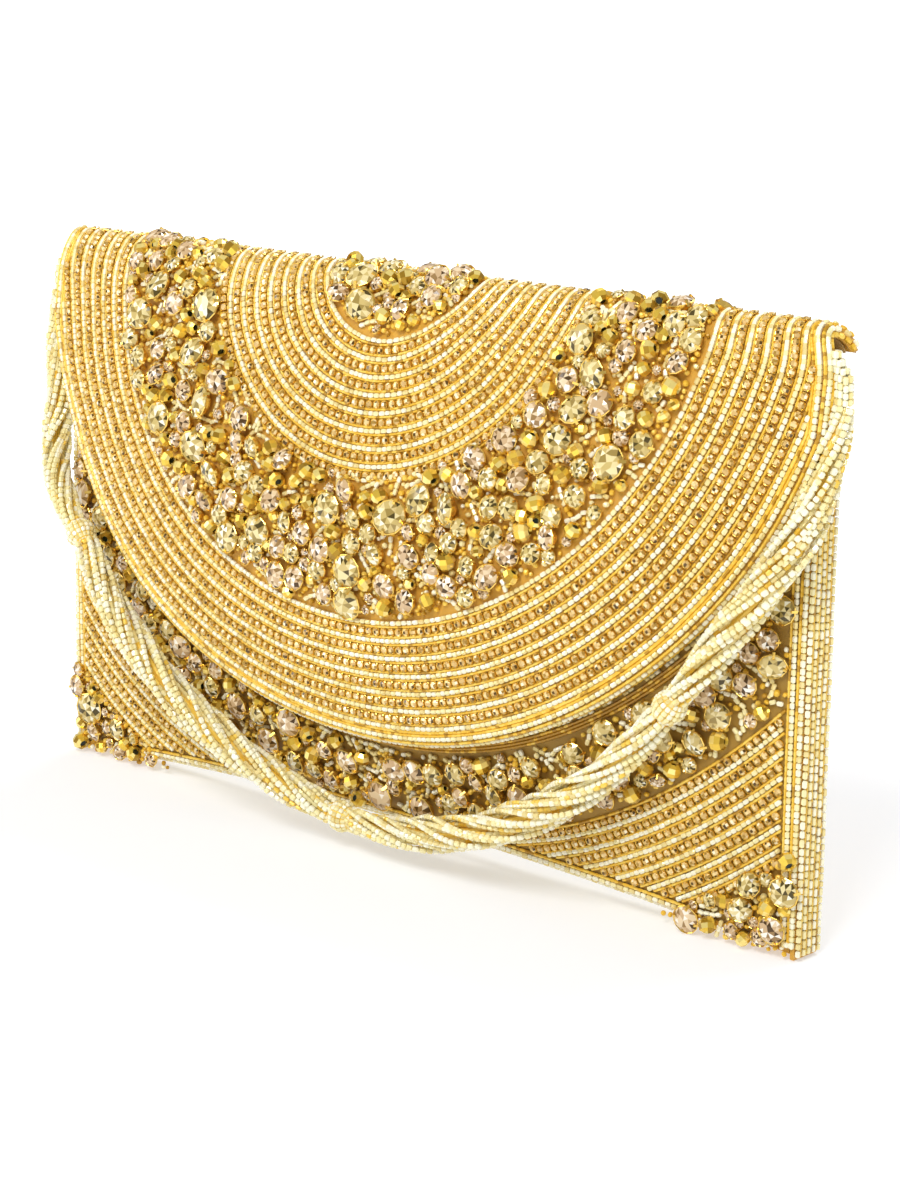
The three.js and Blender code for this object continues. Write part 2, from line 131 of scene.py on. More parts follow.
def flap_cloth(a, b, o):
    a, b, o = np.broadcast_arrays(np.asarray(a, float), np.asarray(b, float), np.asarray(o, float))
    a = a * (1 - CORNER_CUT * np.where(b < 0, smooth(1 + b / BACK_RUN), smooth(1 - b / 24)) / FLAP_HALF)
    o = o + FLAP_TOP
    z = FOLD_Z - (b - FOLD_RUN) * DROP
    low = stack(a, -(front_depth(a, z) + stand_off(a, z) + o), z)

    def over_ridge(depth, rise, foot_z, back, up):
        """A point on an ellipse about the ridge, moved out by o square to it."""
        ny, nz = rise * back, depth * up
        size = np.hypot(ny, nz)
        return stack(a, RIDGE_Y + depth * back + ny / size * o, foot_z + rise * up + nz / size * o)

    turn = (1 - np.clip(b, 0, FOLD_RUN) / FOLD_RUN) * np.pi / 2
    rise = RIDGE_Z - FOLD_Z
    z = FOLD_Z + rise * np.sin(turn)
    depth = front_depth(a, z) + stand_off(a, z) + RIDGE_Y
    mid = over_ridge(depth, rise, FOLD_Z, -np.cos(turn), np.sin(turn))
    turn = np.clip(-b, 0, None) / BACK_RUN * np.pi / 2
    depth = back_depth(a, HINGE_Z) - FLAP_TOP - RIDGE_Y
    high = over_ridge(depth, RIDGE_Z - HINGE_Z, HINGE_Z, np.sin(turn), np.cos(turn))
    return np.where((b >= FOLD_RUN)[..., None], low, np.where((b >= 0)[..., None], mid, high))


def side_cloth(side):
    """The upright side seam: a goes back along y, and b up."""
    return lambda a, b, o: stack(side * (SIDE_X + o), a, b)


def unit(v):
    return v / np.maximum(np.linalg.norm(v, axis=-1, keepdims=True), 1e-9)


def place(cloth, a, b, da, db, o):
    """Points on a cloth and, at each, the directions along (da, db), across it, and outward."""
    e = 0.05
    at = cloth(a, b, o)
    along = unit(cloth(a + da * e, b + db * e, o) - cloth(a - da * e, b - db * e, o))
    across = cloth(a - db * e, b + da * e, o) - cloth(a + db * e, b - da * e, o)
    out = unit(np.cross(along, across))
    lift = cloth(a, b, np.asarray(o) + 1.0) - at
    out = out * np.where((out * lift).sum(-1) < 0, -1, 1)[..., None]
    return at, along, np.cross(out, along), out


# ---- mesh making
class Template:
    """A small solid that is copied many times. slots holds a mark for each face: its kind of surface."""

    def __init__(self, verts, faces, slots):
        self.verts = np.array(verts, float)
        self.loops = np.concatenate([np.array(f) for f in faces])
        self.totals = np.array([len(f) for f in faces])
        self.slots = np.array(slots)


def ring_of(n, r, z, turn=0.0, axis="z"):
    t = np.arange(n) * 2 * np.pi / n + turn
    c, s = r * np.cos(t), r * np.sin(t)
    k = np.full(n, float(z))
    return np.stack([c, s, k] if axis == "z" else [k, c, s], -1)


def tube_faces(rings, sides):
    """The quads of a tube whose vertices are given ring by ring."""
    corners = lambda k, i, j: [k + i, k + j, k + sides + j, k + sides + i]
    return [corners(k * sides, i, (i + 1) % sides) for k in range(rings - 1) for i in range(sides)]


def lathe(profile, sides, axis="z", turn=0.0, open_top=False, cap_slot=0):
    """A solid of rings at (radius, height), flat-capped at its ends."""
    verts = np.concatenate([ring_of(sides, r, h, turn, axis) for r, h in profile])
    faces = tube_faces(len(profile), sides)
    walls, last = len(faces), (len(profile) - 1) * sides
    faces.append(list(range(sides))[::-1])
    if not open_top:
        faces.append(list(range(last, last + sides)))
    return Template(verts, faces, [0] * walls + [cap_slot] * (len(faces) - walls))


class Batch:
    """Gathers copies of templates into one mesh."""

    def __init__(self):
        self.parts = []
        self.count = 0

    def add(self, template, at, x, y, z, scale, look):
        """Adds copies at the points at, turned to x, y and z. scale is (n, 3) or one number, and
        look(n, template slots) gives a material slot for every face."""
        n = len(at)
        basis = np.stack([x, y, z], -1) * np.broadcast_to(scale, (n, 3))[:, None, :]
        verts = at[:, None, :] + np.einsum("mij,nj->mni", basis, template.verts)
        size = len(template.verts)
        loops = (np.arange(n)[:, None] * size + template.loops).ravel() + self.count
        slots = look(n, template.slots).ravel()
        self.parts.append((verts.reshape(-1, 3), loops, np.tile(template.totals, n), slots))
        self.count += n * size

    def add_raw(self, verts, faces, slot):
        """Adds one mesh of quads, all in one slot."""
        n = len(faces)
        self.parts.append((verts, np.asarray(faces).ravel() + self.count, np.full(n, 4), np.full(n, slot)))
        self.count += len(verts)

    def finish(self, name, body, slot, *nodes):
        """Makes the piece: it rides on the body and stands for the nodes."""
        verts, loops, totals, slots = (np.concatenate(part) for part in zip(*self.parts))
        piece = mesh_object(name, verts, loops, totals, SHADES, slots)
        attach(piece, body)
        if nodes:
            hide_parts(*nodes)
        return piece


def to_world(points):
    """From the purse's millimetres, with the side seams at y = 0, to metres."""
    return (np.asarray(points) + [0, MIDDLE_Y, 0]) / 1000


def mesh_object(name, verts, loops, totals, materials, slots=None):
    """Without slots the mesh is smooth, and of one material."""
    mesh = bpy.data.meshes.new(name)
    mesh.vertices.add(len(verts))
    mesh.vertices.foreach_set("co", to_world(verts).astype(np.float32).ravel())
    mesh.loops.add(len(loops))
    mesh.loops.foreach_set("vertex_index", np.asarray(loops, np.int32))
    mesh.polygons.add(len(totals))
    starts = np.concatenate([[0], np.cumsum(totals)[:-1]])
    mesh.polygons.foreach_set("loop_start", starts.astype(np.int32))
    mesh.polygons.foreach_set("loop_total", np.asarray(totals, np.int32))
    for material in materials:
        mesh.materials.append(material)
    if slots is not None:
        mesh.polygons.foreach_set("material_index", np.asarray(slots, np.int32))
    mesh.polygons.foreach_set("use_smooth", np.full(len(totals), slots is None))
    mesh.update(calc_edges=True)
    mesh.validate()
    obj = bpy.data.objects.new(name, mesh)
    bpy.context.scene.collection.objects.link(obj)
    return obj


def pick_by_face(groups):
    """A look: groups maps a template's slot to (first shade, weights, one shade for a whole copy)."""

    def choose(n, slots):
        out = np.zeros((n, len(slots)), int)
        for mark, (first, weights, whole) in groups.items():
            mine = np.where(slots == mark)[0]
            p = np.array(weights, float) / sum(weights)
            out[:, mine] = first + rng.choice(len(p), (n, 1 if whole else len(mine)), p=p)
        return out

    return choose


def pick(weights, first):
    """A look with one shade for a whole copy, chosen by weight."""
    return pick_by_face({0: (first, weights, True)})


# ---- materials
def feed(tree, node, inputs):
    """Fills a node's inputs: an output is linked, and anything else becomes the input's own value."""
    for key, value in inputs.items():
        if isinstance(value, bpy.types.NodeSocket):
            tree.links.new(value, node.inputs[key])
        else:
            node.inputs[key].default_value = value


def add_node(tree, kind, inputs, output=0, **settings):
    """Makes a node and returns one of its outputs."""
    node = tree.nodes.new("ShaderNode" + kind)
    for key, value in settings.items():
        setattr(node, key, value)
    feed(tree, node, inputs)
    return node.outputs[output]


def principled(name, colour, rough, metal=0.0, more=None):
    """A plain shader, to which nodes may be added. more holds other inputs by name."""
    material = bpy.data.materials.new(name)
    material.use_nodes = True
    tree = material.node_tree
    inputs = {"Base Color": (*colour, 1), "Roughness": rough, "Metallic": metal, **(more or {})}
    feed(tree, tree.nodes["Principled BSDF"], inputs)
    return material


def surface(material, tone, stops, relief, strength, distance):
    """Colours a material by tone, between stops of (position, colour), and gives it a relief."""
    tree = material.node_tree
    ramp = tree.nodes.new("ShaderNodeValToRGB")
    for stop, (position, colour) in zip(ramp.color_ramp.elements, stops):
        stop.position, stop.color = position, (*colour, 1)
    feed(tree, ramp, {"Fac": tone})
    bump = add_node(tree, "Bump", {"Height": relief, "Strength": strength, "Distance": distance})
    feed(tree, tree.nodes["Principled BSDF"], {"Base Color": ramp.outputs["Color"], "Normal": bump})


def cloth_material(name, dark, light, scale, bump, rough, sheen=0.0):
    """A woven cloth: fine crossing threads that catch the light, with slow changes of colour."""
    material = principled(name, light, rough, more={"Sheen Weight": sheen})
    tree = material.node_tree
    where = add_node(tree, "TexCoord", {}, "Object")
    threads = []
    for turn in (0.0, math.pi / 2):
        turned = add_node(tree, "Mapping", {"Rotation": (0, math.pi / 4 + turn, 0), "Vector": where})
        wave = {"Scale": scale, "Distortion": 0.6, "Detail Scale": 3, "Vector": turned}
        threads.append(add_node(tree, "TexWave", wave, "Fac"))
    weave = add_node(tree, "Math", dict(enumerate(threads)), operation="MAXIMUM")
    slow = add_node(tree, "TexNoise", {"Scale": 60, "Detail": 3, "Vector": where}, "Fac")
    calm = add_node(tree, "MapRange", {
        "Value": slow, "From Min": 0.3, "From Max": 0.7, "To Min": 0.34, "To Max": 0.46})
    blend = add_node(tree, "Math", {0: weave, 1: 0.55, 2: calm}, operation="MULTIPLY_ADD")
    surface(material, blend, ((0.35, dark), (1.0, light)), weave, bump, 0.0003)
    return material


def metal_material(name, dark, light):
    """Gold plate that is rubbed a little: fine scratches and cloudy patches."""
    material = principled(name, light, 0.25, 1.0)
    tree = material.node_tree
    where = add_node(tree, "TexCoord", {}, "Object")
    cloud = add_node(tree, "TexNoise", {"Scale": 350, "Detail": 6, "Vector": where}, "Fac")
    dull = add_node(tree, "MapRange", {"Value": cloud, "To Min": 0.16, "To Max": 0.4})
    feed(tree, tree.nodes["Principled BSDF"], {"Roughness": dull})
    surface(material, cloud, ((0.35, dark), (0.65, light)), cloud, 0.15, 0.0002)
    return material


satin = cloth_material("satin", (0.4, 0.17, 0.008), (0.84, 0.46, 0.045), 900, 0.4, 0.42, 0.15)
# The front panel's satin: a darker copy of the satin, partly the cloth's own deeper amber and partly painted
# shade from the flap above it.
shaded_satin = cloth_material("satin_deep_painted_shade", (0.2, 0.1, 0.008), (0.5, 0.29, 0.035), 900, 0.4, 0.45, 0.1)
lining_cloth = cloth_material("lining_cloth", (0.4, 0.22, 0.06), (0.66, 0.44, 0.16), 700, 0.3, 0.55)
board_stock = cloth_material("board_stock", (0.5, 0.42, 0.28), (0.72, 0.64, 0.48), 300, 0.2, 0.85)
gold_plate = metal_material("gold_plate", (0.62, 0.36, 0.06), (0.9, 0.6, 0.16))

# The shades of the beads and stones: name, colour, roughness, metal. A bead is wholly one shade,
# and a stone has one on each facet. The facets' shades of the stones, the chain's stones and the
# faceted gold beads, from spark to dark, are painted highlights, reflections and shade.
COATED = {"Coat Weight": 0.3}
SHADES = [principled(*row) for row in (
    ("bead_white_bright", (0.96, 0.92, 0.69), 0.16, 0.0, COATED),
    ("bead_white_warm", (0.92, 0.82, 0.43), 0.2, 0.0, COATED),
    ("bead_white_lined", (0.85, 0.7, 0.3), 0.16, 0.15),
    ("bead_gold_light", (0.92, 0.63, 0.1), 0.32, 0.15),
    ("bead_gold", (0.84, 0.51, 0.045), 0.3, 0.15),
    ("bead_gold_deep", (0.5, 0.26, 0.015), 0.32, 0.15),
    ("setting_gold", (0.88, 0.6, 0.14), 0.22, 0.9),
    # Painted shade for the inside of a faceted bead's hole.
    ("bead_hole_painted_shade", (0.006, 0.012, 0.006), 0.2, 0.2),
    # Stone facets, spark to dark: painted glints, reflections and shade.
    ("stone_peach_spark", (0.98, 0.92, 0.8), 0.06, 0.1),
    ("stone_peach_light", (0.8, 0.63, 0.4), 0.07, 0.05),
    ("stone_peach", (0.6, 0.41, 0.22), 0.07, 0.05),
    ("stone_peach_deep", (0.32, 0.19, 0.07), 0.08, 0.05),
    ("stone_peach_dark", (0.08, 0.04, 0.01), 0.1, 0.1),
    # Lemon stone facets, spark to dark: painted glints, reflections and shade.
    ("stone_lemon_spark", (0.98, 0.95, 0.74), 0.06, 0.1),
    ("stone_lemon_light", (0.8, 0.67, 0.33), 0.07, 0.05),
    ("stone_lemon", (0.6, 0.455, 0.16), 0.07, 0.05),
    ("stone_lemon_deep", (0.34, 0.238, 0.06), 0.08, 0.05),
    ("stone_lemon_dark", (0.08, 0.055, 0.01), 0.1, 0.1),
    # Faceted gold bead facets, light to deep: painted reflections and shade.
    ("bead_metal_light", (1.0, 0.8, 0.26), 0.16, 0.55),
    ("bead_metal", (0.86, 0.57, 0.07), 0.18, 0.6),
    ("bead_metal_deep", (0.42, 0.24, 0.02), 0.2, 0.6),
    # Chain stone facets, spark to dark: painted glints, reflections and shade.
    ("chain_spark", (1.0, 0.9, 0.62), 0.08, 0.1),
    ("chain_light", (0.88, 0.66, 0.3), 0.08, 0.1),
    ("chain_tan", (0.68, 0.45, 0.16), 0.09, 0.1),
    ("chain_deep", (0.4, 0.23, 0.04), 0.1, 0.1),
    ("chain_dark", (0.1, 0.05, 0.006), 0.12, 0.1),
)]
# The first shade of each group.
S_WHITE, S_GOLD, S_METAL, S_HOLE_SHADE, S_PEACH, S_LEMON, S_FACET, S_CHAIN = 0, 3, 6, 7, 8, 13, 18, 21

# ---- bead and stone shapes
# A bead lies with its hole along x and stands along z. Sizes are for a bead 1 long or 1 in radius.
CUT_BEAD = lathe([(0.5, -0.5), (1.0, -0.34), (1.0, 0.34), (0.5, 0.5)], 6, "x", math.pi / 6)
THREAD = lathe([(0.8, -0.5), (1.06, 0.0), (0.8, 0.5)], 6, "x")
ROUND_BEAD = lathe([(0.35, -0.95), (0.86, -0.6), (1.0, 0), (0.86, 0.6), (0.35, 0.95)], 8, "x")
# Faceted, with a near-black cap at each end that is painted shade in the hole: slot 0 is gold, 1 is the
# hole's painted shade.
FACET_BEAD = lathe([(0.34, -0.6), (0.46, -0.88), (0.84, -0.56), (1.0, 0), (0.84, 0.56), (0.46, 0.88),
                    (0.34, 0.6)], 8, "x", cap_slot=1)


def in_claws(verts, faces, cup, claw, claw_faces):
    """A stone, slot 0, with a metal cup and four claws, slot 1. A claw's points are given as the
    distance sideways, the distance from the middle, and the height."""
    stone = len(faces)
    faces += [len(verts) + face for face in np.split(cup.loops, np.cumsum(cup.totals)[:-1])]
    verts += list(cup.verts)
    for corner in range(4):
        t = math.pi / 4 + corner * math.pi / 2
        faces += [[len(verts) + v for v in face] for face in claw_faces]
        verts += [(r * math.cos(t) - w * math.sin(t), r * math.sin(t) + w * math.cos(t), z)
                  for w, r, z in claw]
    return Template(verts, faces, [0] * stone + [1] * (len(faces) - stone))


def chaton():
    """A round brilliant in a claw cup, radius 1 at the girdle."""
    # The table is cut into eight triangles round a raised middle point, so each can take its own painted
    # highlight or shade.
    verts = [*ring_of(8, 0.5, 0.36), *ring_of(8, 0.78, 0.22, math.pi / 8), *ring_of(16, 1.0, -0.02),
             (0.06, 0.04, 0.385)]
    faces = []
    for i in range(8):
        after, before, rim = (i + 1) % 8, (i - 1) % 8, 16 + 2 * i
        faces += [[i, after, 32], [i, 8 + i, after], [i, 8 + before, rim], [i, rim, 8 + i],
                  [8 + i, rim, rim + 1], [8 + i, rim + 1, 16 + (2 * i + 2) % 16]]
    cup = lathe([(0.62, -0.95), (0.95, -0.5), (1.12, -0.05), (1.06, 0.02), (0.97, -0.06)], 12, open_top=True)
    claw = [(-0.11, 1.02, -0.3), (0.11, 1.02, -0.3), (0.1, 1.2, -0.25), (-0.1, 1.2, -0.25),
            (-0.09, 0.78, 0.2), (0.09, 0.78, 0.2), (0.09, 0.92, 0.31), (-0.09, 0.92, 0.31)]
    sides = [[0, 1, 5, 4], [1, 2, 6, 5], [2, 3, 7, 6], [3, 0, 4, 7], [4, 5, 6, 7]]
    return in_claws(verts, faces, cup, claw, sides)


def chain_cup():
    """One square claw cup of a stone chain, 1 in half width."""
    verts = [*ring_of(4, 0.52, 0.62, math.pi / 4), *ring_of(8, 0.92, 0.22, math.pi / 8)]
    faces = [[0, 1, 2, 3]]
    for i in range(4):
        low, mid, high = (4 + (2 * i + k) % 8 for k in range(3))
        faces += [[i, low, mid], [i, mid, high, (i + 1) % 4]]
    cup = lathe([(0.95, -0.6), (1.12, 0.1), (1.05, 0.26), (0.9, 0.2)], 8, turn=math.pi / 8, open_top=True)
    claw = [(-0.2, 1.16, -0.1), (0.2, 1.16, -0.1), (0.0, 0.66, 0.6), (0.0, 1.12, 0.5)]
    return in_claws(verts, faces, cup, claw, [[0, 1, 2], [1, 3, 2], [3, 0, 2]])


# Every facet of a stone takes its own shade at random: painted glints, reflections and shade. The cup and
# claws are all one gold.
def stone_look(first, weights):
    return pick_by_face({0: (first, weights, False), 1: (S_METAL, [1], True)})


CHATON, CHAIN_CUP = chaton(), chain_cup()
STONE_LOOK = {
    "peach": stone_look(S_PEACH, [1.6, 4, 5, 3.2, 1.8]),
    "lemon": stone_look(S_LEMON, [1.6, 4, 5, 3.2, 1.8]),
}
CHAIN_LOOK = stone_look(S_CHAIN, [1.4, 4, 5, 3, 1.3])
# Each facet of a gold bead takes a painted reflection, light to deep, at random. The end caps are painted
# shade in the holes.
FACET_LOOK = pick_by_face({0: (S_FACET, [2, 3, 1.6], False), 1: (S_HOLE_SHADE, [1], True)})
WHITE_LOOK = pick([5, 4, 2], S_WHITE)
GOLD_LOOK = pick([2, 3, 1], S_GOLD)
# Mostly the deepest gold: painted shade on the gold rows that lie just under the flap's edge.
PAINTED_SHADE_GOLD_LOOK = pick([0.2, 1.3, 4], S_GOLD)
FILL_LOOK = pick([1, 1, 1, 4, 5, 3], S_WHITE)


# ---- rows of beads
# Each kind of row: its bead and shades, the shortest and the longest piece, the share of a piece
# that the bead's length is, and the height of its middle on the cloth.
ROWS = {
    "white": (CUT_BEAD, WHITE_LOOK, (1.5, 2.2), 0.87, 0.66),
    "dashed": (CUT_BEAD, WHITE_LOOK, (1.5, 2.2), 0.87, 0.66),
    "gold": (THREAD, GOLD_LOOK, (1.25, 1.6), 1.02, 0.4),
    # Gold rows in mostly the deepest gold: painted shade, for the rows under the flap's edge.
    "deep": (THREAD, PAINTED_SHADE_GOLD_LOOK, (1.25, 1.6), 1.02, 0.4),
    "chain": (CHAIN_CUP, CHAIN_LOOK, (2.55, 2.65), None, 0.85),
}
CHAIN_SIZE, THREAD_R = 1.02, 0.46


def ring_runs(r, inside, step=0.4):
    """The stretches of the ring of radius r that lie inside the field, as pairs of angles."""
    count = max(int(2 * np.pi * r / step), 16)
    turns = np.linspace(-np.pi / 2, 3 * np.pi / 2, count + 1)
    held = inside(r * np.cos(turns), r * np.sin(turns))
    edges = np.flatnonzero(np.diff(np.concatenate([[0], held.astype(int), [0]])))
    return [(turns[s], turns[e - 1]) for s, e in zip(edges[::2], edges[1::2]) if e - 1 > s]


def cut_row(start, end, low, high):
    """Centres and lengths of pieces of random length that fill a row from start to end."""
    total = end - start
    if total < low:
        return np.zeros(0), np.zeros(0)
    sizes = rng.uniform(low, high, int(total / low) + 2)
    count = max(int(np.searchsorted(np.cumsum(sizes), total)), 1)
    sizes = sizes[:count] * total / sizes[:count].sum()
    return start + np.cumsum(sizes) - sizes / 2, sizes


def ring_row(batch, cloth, r, inside, kind):
    """One row round the ring of radius r, wherever it is inside the field."""
    bead, look, lengths, share, height = ROWS[kind]
    for first, last in ring_runs(r, inside):
        mid, size = cut_row(first * r, last * r, *lengths)
        if kind == "dashed":
            keep = np.sin(mid * 0.8 + r * 3) > -0.35
            mid, size = mid[keep], size[keep]
        if len(mid) == 0:
            continue
        turn = mid / r
        at_r = r if bead is THREAD else r + rng.normal(0, 0.05, len(mid))
        frames = place(cloth, at_r * np.cos(turn), at_r * np.sin(turn), -np.sin(turn), np.cos(turn), height)
        if bead is CHAIN_CUP:
            scale = CHAIN_SIZE
        elif bead is THREAD:
            scale = stack(size * share, THREAD_R, THREAD_R)
        else:
            scale = stack(size * share, *rng.uniform(0.6, 0.68, (2, len(mid))))
        batch.add(bead, *frames, scale, look)


def row_field(batch, cloth, inside, whites, period=PERIOD, stones=True):
    """White rows at the given radii, with gold lines and a stone chain in the space after each."""
    between = [(2.6, "chain")] if stones else [(2.1, "gold"), (3.08, "gold")]
    for r in whites:
        ring_row(batch, cloth, r, inside, "white")
        for step, kind in [(1.12, "gold"), *between, (4.06, "gold")]:
            ring_row(batch, cloth, r + step * (period / PERIOD), inside, kind)


# ---- crystal fields
def scatter(sizes, most, inside, box, taken, crowd):
    """Drops up to most circles of random radius, each where it fits among those taken already."""
    placed = []
    (a0, b0), (a1, b1) = box
    for _ in range(most * 14):
        a, b = rng.uniform(a0, a1), rng.uniform(b0, b1)
        r = rng.uniform(*sizes)
        if not inside(np.array([a]), np.array([b]), r * 0.75)[0]:
            continue
        if len(taken):
            t = np.asarray(taken)
            if np.any(np.hypot(t[:, 0] - a, t[:, 1] - b) < (t[:, 2] + r) * crowd):
                continue
        taken.append((a, b, r))
        placed.append((a, b, r))
        if len(placed) >= most:
            break
    return np.array(placed).reshape(-1, 3)


def tilted(x, y, z, lean):
    """Turns each frame at random about its own normal and leans it a little."""
    n = len(x)
    turn = rng.uniform(0, 2 * np.pi, n)[:, None]
    x, y = x * np.cos(turn) + y * np.sin(turn), y * np.cos(turn) - x * np.sin(turn)
    tip = rng.normal(0, lean, n)[:, None]
    x, z = x * np.cos(tip) - z * np.sin(tip), z * np.cos(tip) + x * np.sin(tip)
    return x, y, z


# Kinds of stone and bead, radii, how many to 1000 square millimetres, and how close they may crowd.
# The first half of a plan comes before the white dashes.
DENSE = [
    ("lemon", (3.9, 4.7), 1.9, 1.0), ("peach", (3.0, 3.7), 4.5, 0.95), ("lemon", (2.7, 3.4), 4, 0.93),
    ("facet", (2.2, 2.7), 8, 0.9), ("peach", (2.0, 2.5), 8, 0.89), ("lemon", (1.9, 2.4), 7, 0.88),
    ("facet", (1.7, 2.2), 18, 0.86), ("peach", (1.3, 1.7), 14, 0.86),
]
SPARSE = [
    ("peach", (3.7, 4.4), 1.9, 1.0), ("lemon", (3.0, 3.6), 4.5, 0.95), ("peach", (2.6, 3.2), 6, 0.93),
    ("facet", (2.1, 2.7), 11, 0.9), ("peach", (1.9, 2.4), 10, 0.9), ("lemon", (1.8, 2.3), 7, 0.9),
    ("facet", (1.6, 2.0), 15, 0.88), ("peach", (1.3, 1.6), 12, 0.88),
]


HIGHEST_STONE, DASH_STEP = 3.2, 1.85


def crystal_field(batch, cloth, inside, box, plan, wander, fillers, lift=1.0):
    """Stones and beads by a plan. wander and fillers are the lines of white dashes and the small
    round beads to 1000 square millimetres."""
    taken = []
    spots = rng.uniform(0, 1, (4000, 2)) * (np.array(box[1]) - box[0]) + box[0]
    area = inside(spots[:, 0], spots[:, 1]).mean() * (box[1][0] - box[0][0]) * (box[1][1] - box[0][1]) / 1000
    for step, (kind, sizes, share, crowd) in enumerate(plan):
        if step == len(plan) // 2:
            dashes(batch, cloth, inside, box, taken, int(area * wander))
        got = scatter(sizes, max(int(area * share), 1), inside, box, taken, crowd)
        if len(got) == 0:
            continue
        a, b, r = got.T
        sunk = lift * (0.55 + 0.45 * smooth(b / 24))
        if kind == "facet":
            at, *axes = place(cloth, a, b, 1.0, 0.0, r * 0.95 * sunk)
            batch.add(FACET_BEAD, at, *tilted(*axes, 0.35), stack(r * 0.92, r, r), FACET_LOOK)
        else:
            rise = (0.9 * r + rng.uniform(0, 0.5, len(r))) * sunk
            at, *axes = place(cloth, a, b, 1.0, 0.0, np.minimum(rise, HIGHEST_STONE))
            size = stack(r * 0.94, r * 0.94, np.minimum(r, 2.6))
            batch.add(CHATON, at, *tilted(*axes, 0.22), size, STONE_LOOK[kind])
    dashes(batch, cloth, inside, box, taken, int(area * wander))
    a, b, r = scatter((0.6, 0.95), int(area * fillers), inside, box, taken, 0.8).T
    at, *axes = place(cloth, a, b, 1.0, 0.0, r)
    batch.add(ROUND_BEAD, at, *tilted(*axes, 0.3), stack(r * 0.8, r, r), FILL_LOOK)


def dashes(batch, cloth, inside, box, taken, most):
    """Short lines of white cut beads that wander between the stones."""
    (a0, b0), (a1, b1) = box
    made = 0
    for _ in range(most * 10):
        a, b = rng.uniform(a0, a1), rng.uniform(b0, b1)
        turn = rng.uniform(0, 2 * np.pi)
        line = []
        for _ in range(rng.integers(2, 7)):
            t = np.asarray(taken)
            near = np.hypot(t[:, 0] - a, t[:, 1] - b) < t[:, 2] * 0.92 + 0.5
            if not inside(np.array([a]), np.array([b]), 0.4)[0] or np.any(near):
                break
            line.append((a, b, turn))
            turn += rng.normal(0, 0.3)
            a, b = a + DASH_STEP * math.cos(turn), b + DASH_STEP * math.sin(turn)
        if len(line) < 2:
            continue
        at_a, at_b, turns = np.array(line).T
        frames = place(cloth, at_a, at_b, np.cos(turns), np.sin(turns), 0.8)
        batch.add(CUT_BEAD, *frames, np.array([1.75, 0.62, 0.62]), WHITE_LOOK)
        taken.extend((p, q, 0.75) for p, q in zip(at_a, at_b))
        made += 1
        if made >= most:
            break


# ---- rows along a free line
LINE_PIECES = {"white": (1.5, 2.2), "gold": (1.3, 1.7)}


def line_length(a, b):
    return np.concatenate([[0], np.cumsum(np.hypot(np.diff(a), np.diff(b)))])


def line_row(batch, cloth, a, b, o, kind, r=0.66, push=0.0):
    """A row of beads along the line through pattern points a, b. push moves it to the line's left."""
    a, b = np.broadcast_arrays(a, b)
    run = line_length(a, b)
    mid, size = cut_row(0.2, run[-1] - 0.2, *LINE_PIECES[kind])
    da, db = (np.interp(mid + 0.5, run, v) - np.interp(mid - 0.5, run, v) for v in (a, b))
    long = np.hypot(da, db)
    at, x, y, z = place(cloth, np.interp(mid, run, a), np.interp(mid, run, b), da / long, db / long, o)
    bead, look, _, share, _ = ROWS[kind]
    batch.add(bead, at + y * push, x, y, z, stack(size * share, r, r), look)


def sweep(name, at, side, up, section, material, body):
    """A closed bar along the points at, with a section drawn on the directions side and up."""
    n, m = len(at), len(section)
    wide, high = np.array(section, float).T[:, None, :, None]
    verts = (at[:, None, :] + side[:, None, :] * wide + up[:, None, :] * high).reshape(-1, 3)
    faces = tube_faces(n, m)
    loops = np.concatenate([np.array(faces).ravel(), np.arange(m)[::-1], (n - 1) * m + np.arange(m)])
    totals = np.concatenate([np.full(len(faces), 4), [m, m]])
    obj = mesh_object(name, verts, loops, totals, [material])
    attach(obj, body)


# ---- cloth pieces
def grid_slab(name, cloth_in, cloth_out, us, vs, material, body=None):
    """A closed sheet between two faces, each a function of grid arrays."""
    u, v = np.meshgrid(us, vs)
    inner, outer = cloth_in(u, v), cloth_out(u, v)
    rows, cols = u.shape
    verts = np.concatenate([inner.reshape(-1, 3), outer.reshape(-1, 3)])
    at = lambda i, j, s: s * rows * cols + j * cols + i
    faces = []
    for j in range(rows - 1):
        for i in range(cols - 1):
            faces.append([at(i, j, 1), at(i + 1, j, 1), at(i + 1, j + 1, 1), at(i, j + 1, 1)])
            faces.append([at(i, j, 0), at(i, j + 1, 0), at(i + 1, j + 1, 0), at(i + 1, j, 0)])
    wall = lambda a, b: faces.append([at(*a, 0), at(*b, 0), at(*b, 1), at(*a, 1)])
    for i in range(cols - 1):
        wall((i, 0), (i + 1, 0))
        wall((i + 1, rows - 1), (i, rows - 1))
    for j in range(rows - 1):
        wall((0, j + 1), (0, j))
        wall((cols - 1, j), (cols - 1, j + 1))
    faces = np.array(faces)
    obj = mesh_object(name, verts, faces.ravel(), np.full(len(faces), 4), [material])
    if body:
        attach(obj, body)
    return obj


def panel_sheet(name, depth, sign, layer, top, material):
    """A cloth of the pouch's front or back, from its seam to its top."""
    def face(out):
        def at(u, v):
            x = u * PANEL_HALF
            low = seam_z(x) + 1.5
            z = low + v * (top - low)
            return stack(x, sign * (depth(x, z) + out), z)
        return at
    us, vs = np.linspace(-1, 1, 65), np.linspace(0, 1, 37)
    return grid_slab(name, *map(face, layer), us, vs, material, "pouch")


def flap_sheet(name, layer, radius, half, material):
    """A cloth of the flap, from its crease round to its curved edge."""
    def face(out):
        def at(u, v):
            x = u * half
            edge = np.sqrt(radius ** 2 - x ** 2)
            return flap_cloth(x, -BACK_RUN + v * (edge + BACK_RUN), out - FLAP_TOP)
        return at
    us = np.sin(np.linspace(-1, 1, 81) * np.pi / 2)
    return grid_slab(name, *map(face, layer), us, np.linspace(0, 1, 61), material, "flap")


